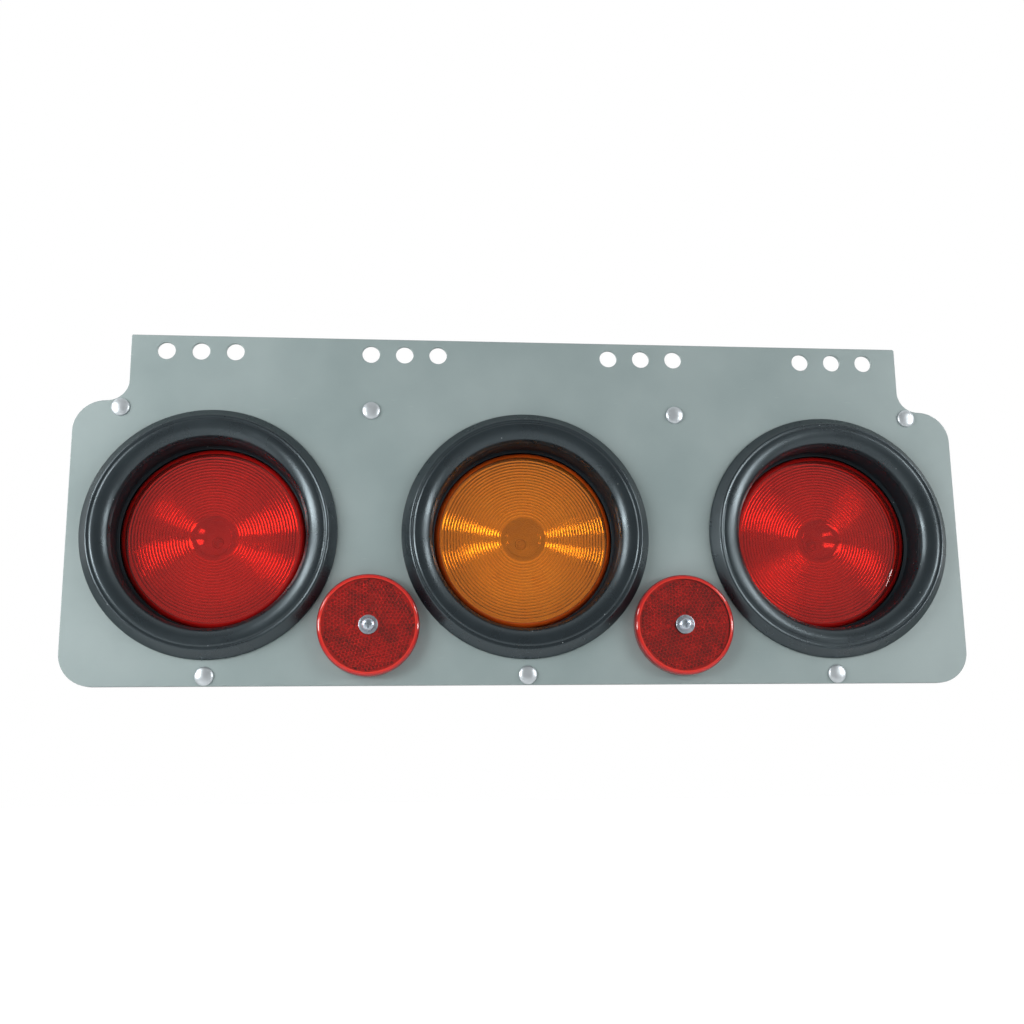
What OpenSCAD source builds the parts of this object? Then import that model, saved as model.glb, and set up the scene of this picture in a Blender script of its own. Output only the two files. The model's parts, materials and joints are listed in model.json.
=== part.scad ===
// Trailer light module: a sheet steel face plate with three round lamps held in rubber grommets, two
// screwed reflectors, and a riveted box behind that shelters the lamp plugs and their leads.
// The origin is the middle of the row of mounting holes, on the plate's back face. X runs to the
// right as seen from the front, the front faces -Y, and Z is up. Sizes are in millimetres.

/* [Face plate] */
// Sheet thickness of the plate
plate_t = 2; // [1.5:0.1:3]
// From an outer grommet's edge to the plate's side edge
side_margin = 6.8; // [6.3:0.1:20]
// From the grommets' edges up to the shoulders beside the tab
shoulder_margin = 4.8; // [4.3:0.1:15]
// From the grommets' edges down to the bottom edge
bottom_margin = 13.3; // [12:0.1:30]
// How far each shoulder stands out beyond the tab
shoulder_w = 28.3; // [24:0.1:40]
// Radius of the plate's outer corners
corner_r = 17; // [10:0.5:20]
// Radius of the hollow fillet where the tab meets a shoulder
fillet_r = 11.3; // [4:0.1:14]

/* [Mounting holes] */
// Diameter of a mounting hole
hole_d = 9.5; // [7:0.5:11]
// Spacing of the three holes in a group
hole_pitch = 18.3; // [14:0.1:22]
// From the hole row up to the plate's top edge
hole_edge = 8.7; // [7:0.1:14]
// From the plate's middle to the centre of an inner group
inner_group_x = 65.6; // [45:0.2:80]
// From the tab's side edge in to the nearest hole
outer_group_inset = 18.7; // [10:0.1:40]

/* [Lamps] */
// Gap between neighbouring grommets
lamp_gap = 33.6; // [29:0.1:50]
// From the hole row down to the lamp axes
lamp_drop = 99.8; // [96:0.1:120]
// Diameter of the lens cap that shows
lens_d = 97.4; // [90:0.2:106]
// How far the flange shared by lens and lamp housing stands out past the lens cap
lamp_flange_w = 5.3; // [4.7:0.1:6.5]
// How deep the lens face lies behind the plate's front
lens_recess = 14; // [10:0.5:16]
// How far the lens face stands ahead of its flange
lens_rise = 3.5; // [3:0.1:5]
// Thickness of the lens flange
lens_flange_t = 3; // [2:0.1:4]
// Thickness of the lens's face
lens_wall = 2.6; // [2:0.1:3.4]
// Thickness of the housing's flange
housing_flange_t = 2.5; // [2:0.1:4]
// Depth of the housing behind its flange
housing_depth = 21; // [19:0.5:24]
// Wall of the housing
housing_wall = 2; // [1.5:0.1:2.5]

/* [Lens rings] */
// Number of prism rings inside the lens
ring_count = 20; // [12:1:24]
// Radius of the plain middle of the lens
ring_inner_r = 12.5; // [8:0.5:16]
// Depth of a prism ring
ring_depth = 0.9; // [0.5:0.1:1.2]
// Height of the lens's crown
lens_crown = 0.8; // [0.2:0.1:1.2]

/* [Grommet] */
// Rubber between the lamp's flange and the plate's cut-out
grommet_wall = 3.15; // [2.8:0.05:4.5]
// How far the front flange reaches past the cut-out
grommet_front_reach = 9.55; // [8:0.05:10.5]
// How far the rear lip reaches past the cut-out
grommet_lip_reach = 2.3; // [1.5:0.1:2.6]
// Height of the front bead over the plate
bead_h = 7; // [5:0.5:9]
// Thickness of the flange's outer edge
grommet_edge_t = 1; // [0.8:0.1:2]
// Thickness of the rubber behind the housing's flange
grommet_tail_t = 4; // [3:0.5:5]

/* [LED board] */
// From the housing's mouth in to the LED board's edge
board_inset = 2.8; // [2:0.1:6]
// Thickness of the LED board
board_t = 1.6; // [1:0.1:2]
// Height of the board's back over the housing's floor
board_lift = 4.4; // [3.5:0.1:6]
// LEDs in the ring around the middle one
led_ring_count = 6; // [4:1:8]
// Radius of the ring of LEDs
led_ring_r = 21; // [16:0.5:26]
// Diameter of an LED's base
led_d = 7; // [5:0.5:8]
// Thickness of the reflector bowl
bowl_t = 1.2; // [0.8:0.1:1.6]
// Diameter of the bowl's floor
bowl_floor_d = 62; // [58:1:68]

/* [Plugs and leads] */
// Width of a lamp plug
plug_w = 26; // [24:0.5:30]
// Height of a lamp plug
plug_h = 18; // [14:0.5:22]
// Thickness of a lamp plug
plug_t = 13; // [11:0.5:15]
// Length of the plug's snout
snout_l = 7; // [4:0.5:12]
// Diameter of a terminal pin
terminal_d = 2.2; // [1.6:0.1:3]
// Spacing of the terminal pins
terminal_pitch = 7; // [5.5:0.1:8]
// Diameter of a sheathed lead
lead_d = 6.5; // [5:0.1:7.5]

/* [Reflectors] */
// Diameter of a reflector
reflector_d = 53.4; // [48:0.2:54]
// From the lamp axes down to the reflectors' axes
reflector_drop = 49.1; // [47:0.1:52]
// Thickness of a reflector with its backing
reflector_t = 7; // [6:0.1:9]
// Thickness of the reflector's backing plate
backing_t = 1.2; // [1:0.1:2]
// Diameter of the reflector screw
screw_d = 4.2; // [3.5:0.1:5]
// Diameter of the screw's head
screw_head_d = 6.8; // [6.4:0.1:8]
// Height of the screw's head
screw_head_h = 2.3; // [1.8:0.1:3]
// Diameter of the washer
washer_d = 10; // [9:0.1:12]
// Thickness of the washer
washer_t = 0.8; // [0.6:0.1:1.5]
// Width of the lock nut across its flats
nut_af = 8.8; // [8:0.1:11]
// Thickness of the lock nut
nut_t = 4.4; // [3:0.1:6]

/* [Rivets] */
// Diameter of a rivet's head
rivet_head_d = 9.8; // [8:0.1:10]
// Height of a rivet's head
rivet_head_h = 2.1; // [1.6:0.1:3]
// Diameter of a rivet's shank
rivet_d = 4.8; // [4:0.1:5.2]
// Diameter of the bulb behind the flange
rivet_bulb_d = 6.8; // [6:0.1:7]
// From the shoulders down to the upper rivets
rivet_top_drop = 3.8; // [3:0.1:4.5]
// From the bottom edge up to the lower rivets
rivet_bottom_rise = 5.1; // [4.5:0.1:6.5]
// From an outer lamp's axis out to the end rivet
end_rivet_out = 49.1; // [45:0.1:52]

/* [Rear box] */
// Room between the lamp plugs and the box's back
plug_room = 7.3; // [6:0.1:30]
// Sheet thickness of the box
box_t = 1.2; // [1:0.1:1.4]
// Width of the box's flange
flange_w = 11; // [10.5:0.1:11.5]
// How far the flange rises past the shoulders, behind the tab
flange_rise = 1.5; // [1:0.1:3]
// Outer corner radius of the box's walls
box_corner_r = 14; // [8:0.5:18]
// Radius of the bend between walls and back
box_bend_r = 5; // [3:0.5:6]
// Thickness of the gasket
gasket_t = 1.5; // [1:0.1:3]
// Diameter of a drain hole in the box's bottom
drain_d = 6; // [4:0.5:8]

/* [Inlet] */
// Diameter of the inlet's threaded neck
neck_d = 28; // [26:0.5:32]
// Diameter of the inlet's outer flange
inlet_flange_d = 40; // [38:0.5:48]
// Thickness of the inlet's outer flange
inlet_flange_t = 3.5; // [2.5:0.1:5]
// Length of the shroud around the contacts
shroud_l = 16; // [12:0.5:22]
// Wall of the shroud
shroud_wall = 2.4; // [2:0.1:3]
// Diameter of a contact pin
contact_d = 3; // [2:0.1:3.2]
// Radius of the circle of contact pins
contact_ring_r = 7; // [6.6:0.1:7.4]
// Thickness of the inlet's nut
inlet_nut_t = 5; // [4:0.5:6]
// Thickness of the inlet's seal
inlet_seal_t = 1.5; // [1:0.1:3]

/* [Hidden] */

$fn = 64;
bend_fn = 32;

plate_colour = [0.60, 0.66, 0.64];
box_colour = [0.56, 0.61, 0.60];
rubber_colour = [0.14, 0.15, 0.17];
red_lens_colour = [0.72, 0.08, 0.08];
amber_lens_colour = [0.88, 0.42, 0.08];
reflector_colour = [0.80, 0.10, 0.08];
metal_colour = [0.80, 0.80, 0.82];
brass_colour = [0.80, 0.65, 0.30];
black_colour = [0.10, 0.10, 0.11];
white_colour = [0.92, 0.92, 0.90];
board_colour = [0.10, 0.35, 0.18];

// Clearances
moulded_fit = 0.3;
pin_fit = 0.05;
lead_fit = 0.15;
cut_over = 1;

// Radii of the lamp and its grommet
lens_r = lens_d / 2;
lamp_flange_r = lens_r + lamp_flange_w;
cutout_r = lamp_flange_r + grommet_wall;
lens_inner_r = lens_r - 2.9;
lens_edge_r = 2.5;
housing_mouth_r = lens_inner_r;
housing_outer_r = lamp_flange_r - 4;
housing_taper = 1.5;
board_r = housing_mouth_r - board_inset;
board_seat_w = 3;
grommet_front_r = cutout_r + grommet_front_reach;
grommet_lip_r = cutout_r + grommet_lip_reach;
grommet_mouth_r = lens_r + moulded_fit;
well_r = grommet_mouth_r + 1.3;
bead_inner_w = 9;
edge_line_r = grommet_front_r - 4.9;

// Plate outline, seen from the front about the hole row
lamp_pitch = 2 * grommet_front_r + lamp_gap;
half_w = lamp_pitch + grommet_front_r + side_margin;
shoulder_y = grommet_front_r + shoulder_margin - lamp_drop;
bottom_y = -lamp_drop - grommet_front_r - bottom_margin;
tab_half_w = half_w - shoulder_w;
tab_fillet = min(fillet_r, shoulder_w - corner_r);
outer_group_x = tab_half_w - outer_group_inset - hole_pitch;
hole_xs = [
    for (side = [-1, 1]) for (group = [inner_group_x, outer_group_x]) for (step = [-1, 0, 1])
        side * group + step * hole_pitch
];

// Lamp and reflector places
left_x = -lamp_pitch;
right_x = lamp_pitch;
lamp_y = -lamp_drop;
reflector_x = lamp_pitch / 2;
reflector_y = lamp_y - reflector_drop;

// Rivet places
rivet_top_y = shoulder_y - rivet_top_drop;
rivet_bottom_y = bottom_y + rivet_bottom_rise;
end_rivet_x = lamp_pitch + end_rivet_out;
rivet_spots = concat(
    [for (x = [-end_rivet_x, -reflector_x, reflector_x, end_rivet_x]) [x, rivet_top_y]],
    [for (x = [left_x, 0, right_x]) [x, rivet_bottom_y]]
);

// Heights along a lamp's axis, from the plate's front towards the viewer
lens_face_z = -lens_recess;
lens_flange_z = lens_face_z - lens_rise;
weld_z = lens_flange_z - lens_flange_t;
housing_flange_z = weld_z - housing_flange_t;
housing_back_z = housing_flange_z - housing_depth;
housing_floor_z = housing_back_z + housing_wall;
board_back_z = housing_floor_z + board_lift;
board_front_z = board_back_z + board_t;

// Plugs behind the lamps
plug_boss_t = 4;
plug_front_z = housing_back_z - plug_boss_t;
plug_back_z = plug_front_z - plug_t;

// Rear box outline and heights
box_half_w = half_w - flange_w;
box_bottom_y = bottom_y + flange_w;
flange_top_y = shoulder_y + flange_rise;
box_top_y = flange_top_y - flange_w;
gasket_z = -plate_t - gasket_t;
box_flange_z = gasket_z - box_t;
box_inside_z = plug_back_z - plug_room;
box_back_z = box_inside_z - box_t;

// Leads and their clips
lead_z = plug_front_z - plug_t / 2;
snout_d = lead_d + 4;
snout_end = plug_w / 2 + snout_l;
clip_base_t = 1.5;
clip_w = 8;
clip_wall = 1.6;
clip_run_z = box_inside_z + clip_base_t + lead_fit + clip_wall / 4 + lead_d / 2;
clip_run_y = lamp_y - plug_h / 2 - lead_d - 12;
lead_sides = 10;
lead_steps = 4;

// Inlet places
inlet_x = lamp_pitch / 2;
inlet_y = lamp_y;
neck_r = neck_d / 2;
tail_r = neck_r - 0.5;
tail_half_w = tail_r - 3.5;
tail_lead_y = 5;
tail_top_z = lead_z + lead_d / 2 + 4;
inlet_flange_z = box_back_z - inlet_seal_t;
shroud_z = inlet_flange_z - inlet_flange_t;
shroud_end_z = shroud_z - shroud_l;
well_floor_z = shroud_z;
contact_seat = 3;
contact_spots = [for (a = [45 : 90 : 315]) contact_ring_r * [cos(a), sin(a)]];

// Routes of the three leads, each from its plug's snout to the inlet's tail
lead_left_route = [
    [left_x + snout_end, lamp_y, lead_z],
    [left_x + snout_end + 14, lamp_y, lead_z],
    [left_x + snout_end + 26, lamp_y - 8, clip_run_z + 2],
    [left_x + snout_end + 36, clip_run_y, clip_run_z],
    [-lamp_pitch / 2, clip_run_y, clip_run_z],
    [0, clip_run_y, clip_run_z],
    [inlet_x - tail_half_w - 38, clip_run_y, clip_run_z],
    [inlet_x - tail_half_w - 26, inlet_y - 14, clip_run_z + 3],
    [inlet_x - tail_half_w - 12, inlet_y - tail_lead_y, lead_z],
    [inlet_x - tail_half_w, inlet_y - tail_lead_y, lead_z]
];
lead_centre_route = [
    [snout_end, lamp_y, lead_z],
    [snout_end + 12, lamp_y, lead_z],
    [inlet_x - tail_half_w - 14, inlet_y + tail_lead_y, lead_z],
    [inlet_x - tail_half_w, inlet_y + tail_lead_y, lead_z]
];
lead_right_route = [
    [right_x - snout_end, lamp_y, lead_z],
    [right_x - snout_end - 12, lamp_y, lead_z],
    [inlet_x + tail_half_w + 14, inlet_y + tail_lead_y, lead_z],
    [inlet_x + tail_half_w, inlet_y + tail_lead_y, lead_z]
];

// Points of a quarter ellipse from angle a0 to a1
function arc_points(centre, radii, a0, a1, steps = 6) = [
    for (i = [0 : steps])
        let (a = a0 + (a1 - a0) * i / steps)
        [centre[0] + radii[0] * cos(a), centre[1] + radii[1] * sin(a)]
];

// Smooth path that leaves and arrives straight and rounds each corner of a route
function bend(a, b, c, t) = (1 - t) * (1 - t) * a + 2 * t * (1 - t) * b + t * t * c;
function smooth_path(route) = concat(
    [route[0]],
    [
        for (i = [1 : len(route) - 2]) for (k = [0 : lead_steps])
            if (i == 1 || k > 0)
                bend((route[i - 1] + route[i]) / 2, route[i], (route[i] + route[i + 1]) / 2, k / lead_steps)
    ],
    [route[len(route) - 1]]
);
function unit(v) = v / norm(v);
function heading(path, i) =
    unit(path[min(i + 1, len(path) - 1)] - path[max(i - 1, 0)]);
function lead_ring(path, i, r) =
    let (ahead = heading(path, i), side = unit(cross(ahead, [0, 0, 1])), up = cross(side, ahead))
    [for (k = [0 : lead_sides - 1])
        let (a = 360 * k / lead_sides)
        path[i] + r * (cos(a) * side + sin(a) * up)];

// Puts its children on the plate's front face at x and y, with their Z towards the viewer
module on_front(x, y) {
    translate([x, -plate_t, y]) rotate([90, 0, 0]) children();
}

module turned(outline) {
    rotate_extrude() polygon(outline);
}

module tube(outer_d, inner_d, h) {
    difference() {
        cylinder(d = outer_d, h = h);
        translate([0, 0, -cut_over]) cylinder(d = inner_d, h = h + 2 * cut_over);
    }
}

// A hexagon prism stated by its width across flats
module hexagon(af, h) {
    cylinder(d = af / cos(30), h = h, $fn = 6);
}

// Rectangle from corner to corner with its four corners rounded
module rounded_area(low, high, r) {
    translate(low + [r, 0]) square(high - low - [2 * r, 0]);
    translate(low + [0, r]) square(high - low - [0, 2 * r]);
    for (x = [low[0] + r, high[0] - r]) for (y = [low[1] + r, high[1] - r])
        translate([x, y]) circle(r = r);
}

// The tab's hollow fillet on one side, run down into the shoulder
module tab_fillet_area(side) {
    overlap = corner_r / 2;
    mirror([side < 0 ? 1 : 0, 0])
        difference() {
            translate([tab_half_w - overlap, shoulder_y - overlap])
                square([tab_fillet + overlap, tab_fillet + overlap]);
            translate([tab_half_w + tab_fillet, shoulder_y + tab_fillet]) circle(r = tab_fillet);
        }
}

module plate_area() {
    rounded_area([-half_w, bottom_y], [half_w, shoulder_y], corner_r);
    translate([-tab_half_w, shoulder_y - corner_r])
        square([2 * tab_half_w, hole_edge - shoulder_y + corner_r]);
    for (side = [-1, 1]) tab_fillet_area(side);
}

// The part of the plate's outline that the flange and the gasket follow
module flange_area() {
    intersection() {
        plate_area();
        translate([-half_w - cut_over, bottom_y - cut_over])
            square([2 * (half_w + cut_over), flange_top_y - bottom_y + cut_over]);
    }
}

module box_inside_area() {
    rounded_area(
        [-box_half_w + box_t, box_bottom_y + box_t],
        [box_half_w - box_t, box_top_y - box_t],
        box_corner_r - box_t
    );
}

// Shank holes of all the rivets, from one height up to another
module rivet_holes(low, high) {
    for (spot = rivet_spots)
        translate([spot[0], spot[1], low - cut_over])
            cylinder(d = rivet_d + 2 * pin_fit, h = high - low + 2 * cut_over);
}

module face_plate() {
    color(plate_colour) on_front(0, 0) difference() {
        translate([0, 0, -plate_t]) linear_extrude(plate_t) plate_area();
        for (x = hole_xs)
            translate([x, 0, -plate_t - cut_over]) cylinder(d = hole_d, h = plate_t + 2 * cut_over);
        for (x = [left_x, 0, right_x])
            translate([x, lamp_y, -plate_t - cut_over]) cylinder(r = cutout_r, h = plate_t + 2 * cut_over);
        for (x = [-reflector_x, reflector_x])
            translate([x, reflector_y, -plate_t - cut_over])
                cylinder(d = screw_d + 2 * pin_fit, h = plate_t + 2 * cut_over);
        rivet_holes(-plate_t, 0);
    }
}

module gasket() {
    color(black_colour) on_front(0, 0) difference() {
        translate([0, 0, gasket_z]) linear_extrude(gasket_t) difference() {
            flange_area();
            box_inside_area();
        }
        rivet_holes(gasket_z, -plate_t);
    }
}

// A closed block with upright round corners and a bend radius around its back
module drawn_block(low, high, corner, bend_r, front_z, back_z) {
    hull()
        for (x = [low[0] + corner, high[0] - corner]) for (y = [low[1] + corner, high[1] - corner])
            translate([x, y, 0]) {
                translate([0, 0, back_z + bend_r])
                    cylinder(r = corner, h = front_z - back_z - bend_r, $fn = bend_fn);
                translate([0, 0, back_z + bend_r]) rotate_extrude($fn = bend_fn) intersection() {
                    translate([corner - bend_r, 0]) circle(r = bend_r, $fn = bend_fn);
                    translate([0, -bend_r]) square([corner, bend_r]);
                }
            }
}

module rear_box() {
    color(box_colour) on_front(0, 0) difference() {
        union() {
            translate([0, 0, box_flange_z]) linear_extrude(box_t) flange_area();
            drawn_block(
                [-box_half_w, box_bottom_y], [box_half_w, box_top_y],
                box_corner_r, box_bend_r, box_flange_z + box_t / 2, box_back_z
            );
        }
        drawn_block(
            [-box_half_w + box_t, box_bottom_y + box_t], [box_half_w - box_t, box_top_y - box_t],
            box_corner_r - box_t, box_bend_r - box_t, gasket_z + cut_over, box_inside_z
        );
        rivet_holes(box_flange_z, gasket_z);
        translate([inlet_x, inlet_y, box_back_z - cut_over])
            cylinder(d = neck_d + 2 * pin_fit, h = box_t + 2 * cut_over);
        for (x = [-reflector_x, 0, reflector_x])
            translate([x, box_bottom_y - cut_over, box_back_z / 2]) rotate([-90, 0, 0])
                cylinder(d = drain_d, h = box_t + 2 * cut_over);
    }
}

// Blind rivet: domed head, shank through the three sheets and a bulb drawn up behind them
module rivet() {
    head_r = rivet_head_d / 2;
    shank_r = rivet_d / 2;
    mandrel_r = 1.3;
    rim_h = 0.5;
    bulb_l = 4;
    grip_z = box_flange_z;
    turned(concat(
        [[0, grip_z - bulb_l], [mandrel_r, grip_z - bulb_l], [rivet_bulb_d / 2, grip_z - bulb_l / 2]],
        [[rivet_bulb_d / 2, grip_z], [shank_r, grip_z], [shank_r, 0], [head_r, 0], [head_r, rim_h]],
        arc_points([mandrel_r, rim_h], [head_r - mandrel_r, rivet_head_h - rim_h], 15, 90),
        [[mandrel_r, rivet_head_h - 0.4], [0, rivet_head_h - 0.4]]
    ));
}

module rivets() {
    color(metal_colour) for (spot = rivet_spots) on_front(spot[0], spot[1]) rivet();
}

// Rubber ring that grips the plate's cut-out and holds the lamp's flange in its inner groove
module grommet(x) {
    lip_front_z = lens_face_z - 0.6;
    tail_z = housing_flange_z - grommet_tail_t;
    color(rubber_colour) on_front(x, lamp_y) turned(concat(
        [[grommet_mouth_r, lens_flange_z], [grommet_mouth_r, lip_front_z]],
        arc_points([well_r + bead_inner_w, 0], [bead_inner_w, bead_h], 180, 90, 8),
        [[edge_line_r - 1.2, bead_h - 0.5], [edge_line_r, bead_h - 0.2]],
        [[grommet_front_r - 0.6, grommet_edge_t + 0.8], [grommet_front_r, grommet_edge_t]],
        [[grommet_front_r, 0], [cutout_r, 0], [cutout_r, -plate_t], [grommet_lip_r, -plate_t]],
        [[grommet_lip_r, -plate_t - 2], [cutout_r + 0.7, -plate_t - 5], [cutout_r + 0.7, tail_z]],
        [[housing_outer_r + moulded_fit, tail_z], [housing_outer_r + moulded_fit, housing_flange_z]],
        [[lamp_flange_r, housing_flange_z], [lamp_flange_r, lens_flange_z]]
    ));
}

// Lens with a crowned face, a rounded edge and prism rings moulded on the inside of its face
module lens(x, tint) {
    face_r = lens_r - lens_edge_r;
    inside_z = lens_face_z - lens_wall;
    ring_w = (lens_inner_r - 1 - ring_inner_r) / ring_count;
    crown = [
        for (i = [0 : 5]) let (r = face_r * i / 6) [r, lens_face_z + lens_crown * (1 - pow(r / face_r, 2))]
    ];
    rings = [
        for (i = [ring_count : -1 : 1]) for (tooth = [[0, 0], [0.8, ring_depth]])
            [ring_inner_r + ring_w * (i - tooth[0]), inside_z - tooth[1]]
    ];
    color(tint) on_front(x, lamp_y) turned(concat(
        crown,
        arc_points([face_r, lens_face_z - lens_edge_r], [lens_edge_r, lens_edge_r], 90, 0),
        [[lens_r, lens_flange_z], [lamp_flange_r, lens_flange_z], [lamp_flange_r, weld_z]],
        [[lens_inner_r, weld_z], [lens_inner_r, inside_z]],
        rings,
        [[ring_inner_r, inside_z], [0, inside_z]]
    ));
}

// Terminal pin places across a lamp's back
terminal_xs = [-terminal_pitch, 0, terminal_pitch];

module housing(x) {
    floor_r = housing_outer_r - housing_taper;
    floor_inner_r = min(housing_mouth_r, floor_r - housing_wall);
    seat_r = board_r + moulded_fit;
    color(black_colour) on_front(x, lamp_y) difference() {
        union() {
            turned([
                [0, housing_back_z], [floor_r, housing_back_z], [housing_outer_r, housing_flange_z],
                [lamp_flange_r, housing_flange_z], [lamp_flange_r, weld_z], [housing_mouth_r, weld_z],
                [seat_r, board_front_z], [seat_r, board_back_z], [board_r - board_seat_w, board_back_z],
                [board_r - board_seat_w, housing_floor_z], [0, housing_floor_z]
            ]);
            translate([-plug_w / 2, -plug_h / 2, plug_front_z])
                cube([plug_w, plug_h, housing_floor_z - plug_front_z - housing_wall / 2]);
        }
        for (pin_x = terminal_xs)
            translate([pin_x, 0, plug_front_z - cut_over])
                cylinder(d = terminal_d + 2 * pin_fit, h = housing_floor_z - plug_front_z + 2 * cut_over);
    }
}

// LED places on a board: one in the middle and a ring around it
led_spots = concat(
    [[0, 0]],
    [for (i = [0 : led_ring_count - 1])
        led_ring_r * [cos(360 * i / led_ring_count), sin(360 * i / led_ring_count)]]
);

// Bright bowl around the LEDs, stood on the board's front
module bowl(x) {
    floor_r = bowl_floor_d / 2;
    rim_r = housing_mouth_r - moulded_fit - 0.5;
    rim_z = weld_z - 1;
    floor_z = board_front_z;
    color(white_colour) on_front(x, lamp_y) difference() {
        turned([
            [0, floor_z], [floor_r, floor_z], [rim_r, rim_z - bowl_t], [rim_r, rim_z],
            [rim_r - bowl_t, rim_z], [floor_r - bowl_t / 2, floor_z + bowl_t], [0, floor_z + bowl_t]
        ]);
        for (spot = led_spots)
            translate([spot[0], spot[1], floor_z - cut_over])
                cylinder(d = led_d + 2 * moulded_fit, h = bowl_t + 2 * cut_over);
    }
}

module board(x) {
    color(board_colour) on_front(x, lamp_y)
        translate([0, 0, board_back_z]) cylinder(r = board_r, h = board_t);
}

module led() {
    base_h = 1;
    dome_r = led_d * 0.36;
    cylinder(d = led_d, h = base_h);
    translate([0, 0, base_h]) intersection() {
        sphere(r = dome_r);
        translate([-dome_r, -dome_r, 0]) cube(2 * dome_r);
    }
}

module leds(x) {
    color("khaki") on_front(x, lamp_y)
        for (spot = led_spots) translate([spot[0], spot[1], board_front_z]) led();
}

module terminals(x) {
    reach = plug_t - 2;
    color(brass_colour) on_front(x, lamp_y) for (pin_x = terminal_xs)
        translate([pin_x, 0, plug_front_z - reach])
            cylinder(d = terminal_d, h = board_back_z - plug_front_z + reach);
}

// Right-angle plug whose snout points to the given side
module plug(x, side) {
    color(black_colour) on_front(x, lamp_y) difference() {
        union() {
            translate([-plug_w / 2, -plug_h / 2, plug_back_z]) cube([plug_w, plug_h, plug_t]);
            translate([0, 0, lead_z]) rotate([0, side * 90, 0]) cylinder(d = snout_d, h = snout_end);
        }
        for (pin_x = terminal_xs)
            translate([pin_x, 0, plug_back_z + 2]) cylinder(d = terminal_d + 2 * pin_fit, h = plug_t);
    }
}

// Sheathed lead swept along a route
module lead(route) {
    path = smooth_path(route);
    rings = [for (i = [0 : len(path) - 1]) for (p = lead_ring(path, i, lead_d / 2)) p];
    last = (len(path) - 1) * lead_sides;
    walls = [
        for (i = [0 : len(path) - 2]) for (k = [0 : lead_sides - 1])
            let (here = i * lead_sides, next = (k + 1) % lead_sides)
            [here + k, here + lead_sides + k, here + lead_sides + next, here + next]
    ];
    first_cap = [for (k = [0 : lead_sides - 1]) k];
    last_cap = [for (k = [lead_sides - 1 : -1 : 0]) last + k];
    color(black_colour) on_front(0, 0) polyhedron(rings, concat([first_cap, last_cap], walls), convexity = 6);
}

// Saddle clips that hold the longest lead on the box's back
module lead_clips() {
    outer_r = lead_d / 2 + lead_fit + clip_wall;
    base_w = 2 * outer_r + 8;
    color(white_colour) on_front(0, 0) for (x = [-lamp_pitch / 2, 0])
        translate([x - clip_w / 2, clip_run_y, 0]) difference() {
            union() {
                translate([0, -base_w / 2, box_inside_z]) cube([clip_w, base_w, clip_base_t]);
                translate([0, -outer_r, box_inside_z]) cube([clip_w, 2 * outer_r, clip_run_z - box_inside_z]);
                translate([0, 0, clip_run_z]) rotate([0, 90, 0]) cylinder(r = outer_r, h = clip_w);
            }
            translate([-cut_over, 0, clip_run_z]) rotate([0, 90, 0])
                cylinder(r = lead_d / 2 + lead_fit, h = clip_w + 2 * cut_over);
        }
}

// Bulkhead socket: shroud and contact floor outside, threaded neck and lead tail inside the box
module inlet_socket() {
    neck_end_z = box_inside_z + inlet_nut_t + 1.5;
    well_d = neck_d + 2 - 2 * shroud_wall;
    key_w = 2;
    color(black_colour) on_front(inlet_x, inlet_y) difference() {
        union() {
            translate([0, 0, shroud_end_z]) cylinder(d = neck_d + 2, h = shroud_z - shroud_end_z);
            translate([0, 0, shroud_z]) cylinder(d = inlet_flange_d, h = inlet_flange_t);
            translate([0, 0, inlet_flange_z]) cylinder(d = neck_d, h = neck_end_z - inlet_flange_z);
            intersection() {
                translate([0, 0, neck_end_z - 1]) cylinder(r = tail_r, h = tail_top_z - neck_end_z + 1);
                translate([-tail_half_w, -tail_r, neck_end_z - 1])
                    cube([2 * tail_half_w, 2 * tail_r, tail_top_z - neck_end_z + 1]);
            }
        }
        difference() {
            translate([0, 0, shroud_end_z - cut_over])
                cylinder(d = well_d, h = well_floor_z - shroud_end_z + cut_over);
            translate([-key_w / 2, well_d / 2 - 1.5, shroud_end_z + 1]) cube([key_w, 4, shroud_l]);
        }
        for (spot = contact_spots)
            translate([spot[0], spot[1], well_floor_z - cut_over])
                cylinder(d = contact_d + 2 * pin_fit, h = contact_seat + cut_over);
    }
}

module inlet_contacts() {
    tip = 0.8;
    reach = shroud_l - 3;
    color(brass_colour) on_front(inlet_x, inlet_y) for (spot = contact_spots)
        translate([spot[0], spot[1], well_floor_z - reach]) {
            cylinder(d1 = contact_d - tip, d2 = contact_d, h = tip);
            translate([0, 0, tip]) cylinder(d = contact_d, h = reach + contact_seat - tip);
        }
}

module inlet_seal() {
    color(rubber_colour) on_front(inlet_x, inlet_y)
        translate([0, 0, inlet_flange_z]) tube(inlet_flange_d - 2, neck_d + 2 * pin_fit, inlet_seal_t);
}

module inlet_nut() {
    color(metal_colour) on_front(inlet_x, inlet_y)
        translate([0, 0, box_inside_z]) difference() {
            hexagon(neck_d + 8, inlet_nut_t);
            translate([0, 0, -cut_over]) cylinder(d = neck_d + 2 * pin_fit, h = inlet_nut_t + 2 * cut_over);
        }
}

// Reflector body: flat face, rounded rim and a hollow behind for its prisms
module reflector(x) {
    outer_r = reflector_d / 2;
    edge = 1.2;
    rim_w = 3;
    boss_r = washer_d / 2;
    face_t = 3;
    color(reflector_colour) on_front(x, reflector_y) difference() {
        turned(concat(
            [[0, backing_t], [outer_r, backing_t]],
            arc_points([outer_r - edge, reflector_t - edge], [edge, edge], 0, 90),
            [[0, reflector_t]]
        ));
        turned([
            [boss_r, backing_t - cut_over], [outer_r - rim_w, backing_t - cut_over],
            [outer_r - rim_w, reflector_t - face_t], [boss_r, reflector_t - face_t]
        ]);
        cylinder(d = screw_d + 2 * pin_fit, h = reflector_t + cut_over);
    }
}

module reflector_backing(x) {
    color(black_colour) on_front(x, reflector_y)
        tube(reflector_d - 1, screw_d + 2 * pin_fit, backing_t);
}

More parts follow.
